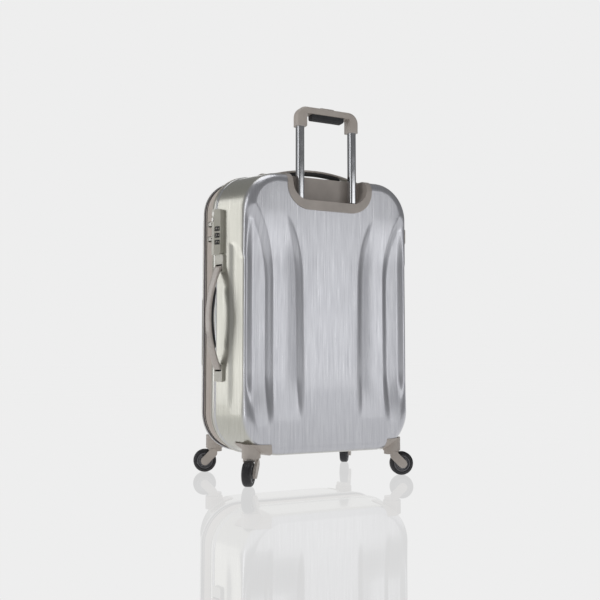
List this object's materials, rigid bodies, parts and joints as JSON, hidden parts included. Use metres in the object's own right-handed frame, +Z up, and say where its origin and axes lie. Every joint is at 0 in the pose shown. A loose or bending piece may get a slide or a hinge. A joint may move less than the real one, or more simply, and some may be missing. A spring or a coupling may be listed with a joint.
{
  "type": "hard shell spinner suitcase",
  "caption": "Hard shell suitcase in two hinged halves, with a telescopic pull handle, carry handles, a combination lock and swivelling casters.",
  "frame": {"origin": "on the floor under the middle of the case, where the casters stand", "axes": "+Z up, +Y towards the rear face that carries the pull handle, +X towards the side that carries the lock and the side handle"},
  "size_m": [0.4928, 0.3094, 0.808],
  "materials": {
    "shell": "brushed silver film under a clear gloss",
    "lining": "woven polyester lining",
    "zip_chain": "nylon coil chain",
    "tape": "woven beige band",
    "taupe_trim": "satin taupe",
    "taupe_gloss": "soft gloss taupe",
    "cream_trim": "cream",
    "chrome_tube": "polished",
    "inner_tube": "drawn tube",
    "dark_trim": "satin black",
    "soft_black": "soft grip rubber",
    "bright_metal": "brushed",
    "slider_metal": "plated zinc",
    "strap_web": "woven webbing",
    "fork_plastic": "satin light taupe",
    "rim_plastic": "silver",
    "tyre": "moulded polyurethane tread"
  },
  "bodies": {
    "rear_case": {"rear_shell": "shell", "rear_lining": "lining", "rear_zip": "zip_chain", "rear_hinge": "tape", "trolley_cup": "taupe_trim", "fixed_tubes": "inner_tube", "tube_bracket": "dark_trim", "side_mounts": "taupe_trim", "top_mounts": "taupe_trim", "lock_case": "taupe_gloss", "lock_docks": "cream_trim", "side_foot": "taupe_trim", "rear_straps": "strap_web", "rear_buckle": "dark_trim", "housing_rear_left": "taupe_trim", "housing_rear_right": "taupe_trim"},
    "front_case": {"front_shell": "shell", "front_lining": "lining", "front_band": "tape", "front_zip": "zip_chain", "expander_zip": "zip_chain", "front_hinge": "tape", "front_straps": "strap_web", "front_buckle": "dark_trim", "housing_front_left": "taupe_trim", "housing_front_right": "taupe_trim"},
    "trolley_middle": {"middle_tubes": "inner_tube", "middle_bushes": "dark_trim"},
    "trolley_upper": {"upper_tubes": "chrome_tube", "grip": "taupe_trim", "grip_insert": "soft_black"},
    "release_button": {"release_button": "taupe_gloss"},
    "side_handle": {"side_strap": "taupe_gloss", "side_pad": "soft_black"},
    "top_handle": {"top_strap": "taupe_gloss", "top_pad": "soft_black"},
    "dial_1": {"dial_1": "dark_trim"},
    "dial_2": {"dial_2": "dark_trim"},
    "dial_3": {"dial_3": "dark_trim"},
    "lock_push": {"lock_push": "bright_metal"},
    "key_core": {"key_core": "bright_metal"},
    "slider_lower": {"slider_lower": "slider_metal"},
    "slider_upper": {"slider_upper": "slider_metal"},
    "pull_lower": {"pull_lower": "slider_metal"},
    "pull_upper": {"pull_upper": "slider_metal"},
    "fork_rear_left": {"fork_rear_left": "fork_plastic"},
    "wheel_rear_left": {"tyre_rear_left": "tyre", "rim_rear_left": "rim_plastic"},
    "fork_rear_right": {"fork_rear_right": "fork_plastic"},
    "wheel_rear_right": {"tyre_rear_right": "tyre", "rim_rear_right": "rim_plastic"},
    "fork_front_left": {"fork_front_left": "fork_plastic"},
    "wheel_front_left": {"tyre_front_left": "tyre", "rim_front_left": "rim_plastic"},
    "fork_front_right": {"fork_front_right": "fork_plastic"},
    "wheel_front_right": {"tyre_front_right": "tyre", "rim_front_right": "rim_plastic"}
  },
  "joints": [
    {"name": "lid_hinge", "type": "hinge", "parent": "rear_case", "child": "front_case", "pos_m": [-0.236, 0.027, 0.325], "axis": [0, 0, -1], "range_deg": [0, 180]},
    {"name": "trolley_middle_slide", "type": "slide", "parent": "rear_case", "child": "trolley_middle", "axis": [0, 0, 1], "range_m": [0, 0.19]},
    {"name": "trolley_upper_slide", "type": "slide", "parent": "trolley_middle", "child": "trolley_upper", "axis": [0, 0, 1], "range_m": [-0.155, 0]},
    {"name": "release_press", "type": "slide", "parent": "trolley_upper", "child": "release_button", "axis": [0, 0, -1], "range_m": [0, 0.004], "stiffness_N_per_m": 400, "springref_m": -0.002},
    {"name": "side_handle_pull", "type": "slide", "parent": "rear_case", "child": "side_handle", "axis": [0.9578, 0.2873, 0], "range_m": [0, 0.01], "stiffness_N_per_m": 200, "springref_m": -0.004},
    {"name": "top_handle_pull", "type": "slide", "parent": "rear_case", "child": "top_handle", "axis": [0, 0, 1], "range_m": [0, 0.01], "stiffness_N_per_m": 200, "springref_m": -0.004},
    {"name": "lock_press", "type": "slide", "parent": "rear_case", "child": "lock_push", "axis": [-0.981, -0.1942, 0], "range_m": [0, 0.003], "stiffness_N_per_m": 300, "springref_m": -0.002},
    {"name": "key_turn", "type": "hinge", "parent": "rear_case", "child": "key_core", "pos_m": [0.23197, 0.05108, 0.569], "axis": [0.981, 0.1942, 0], "range_deg": [0, 90]},
    {"name": "lower_slider_run", "type": "slide", "parent": "rear_case", "child": "slider_lower", "axis": [0, 0, -1], "range_m": [0, 0.36]},
    {"name": "upper_slider_run", "type": "slide", "parent": "rear_case", "child": "slider_upper", "axis": [0, 0, 1], "range_m": [0, 0.024]},
    {"name": "lower_pull_swing", "type": "hinge", "parent": "slider_lower", "child": "pull_lower", "pos_m": [0.2362, 0.027, 0.517], "axis": [0, 0, -1], "range_deg": [0, 165]},
    {"name": "upper_pull_swing", "type": "hinge", "parent": "slider_upper", "child": "pull_upper", "pos_m": [0.2362, 0.027, 0.549], "axis": [0, 0, -1], "range_deg": [0, 165]},
    {"name": "dial_1_turn", "type": "hinge", "parent": "rear_case", "child": "dial_1", "pos_m": [0.2264, 0.05966, 0.5065], "axis": [0, 0, 1], "continuous": true},
    {"name": "dial_2_turn", "type": "hinge", "parent": "rear_case", "child": "dial_2", "pos_m": [0.2264, 0.05966, 0.521], "axis": [0, 0, 1], "continuous": true},
    {"name": "dial_3_turn", "type": "hinge", "parent": "rear_case", "child": "dial_3", "pos_m": [0.2264, 0.05966, 0.5355], "axis": [0, 0, 1], "continuous": true},
    {"name": "rear_left_swivel", "type": "hinge", "parent": "rear_case", "child": "fork_rear_left", "pos_m": [0.17, 0.112, 0.05], "axis": [0, 0, 1], "continuous": true},
    {"name": "rear_left_roll", "type": "hinge", "parent": "fork_rear_left", "child": "wheel_rear_left", "pos_m": [0.18293, 0.1298, 0.026], "axis": [-0.809, 0.5878, 0], "continuous": true},
    {"name": "rear_right_swivel", "type": "hinge", "parent": "rear_case", "child": "fork_rear_right", "pos_m": [-0.17, 0.112, 0.05], "axis": [0, 0, 1], "continuous": true},
    {"name": "rear_right_roll", "type": "hinge", "parent": "fork_rear_right", "child": "wheel_rear_right", "pos_m": [-0.19067, 0.11952, 0.026], "axis": [-0.342, -0.9397, 0], "continuous": true},
    {"name": "front_left_swivel", "type": "hinge", "parent": "front_case", "child": "fork_front_left", "pos_m": [0.17, -0.112, 0.05], "axis": [0, 0, 1], "continuous": true},
    {"name": "front_left_roll", "type": "hinge", "parent": "fork_front_left", "child": "wheel_front_left", "pos_m": [0.19115, -0.11806, 0.026], "axis": [0.2756, 0.9613, 0], "continuous": true},
    {"name": "front_right_swivel", "type": "hinge", "parent": "front_case", "child": "fork_front_right", "pos_m": [-0.17, -0.112, 0.05], "axis": [0, 0, 1], "continuous": true},
    {"name": "front_right_roll", "type": "hinge", "parent": "fork_front_right", "child": "wheel_front_right", "pos_m": [-0.1823, -0.13024, 0.026], "axis": [0.829, -0.5592, 0], "continuous": true}
  ]
}
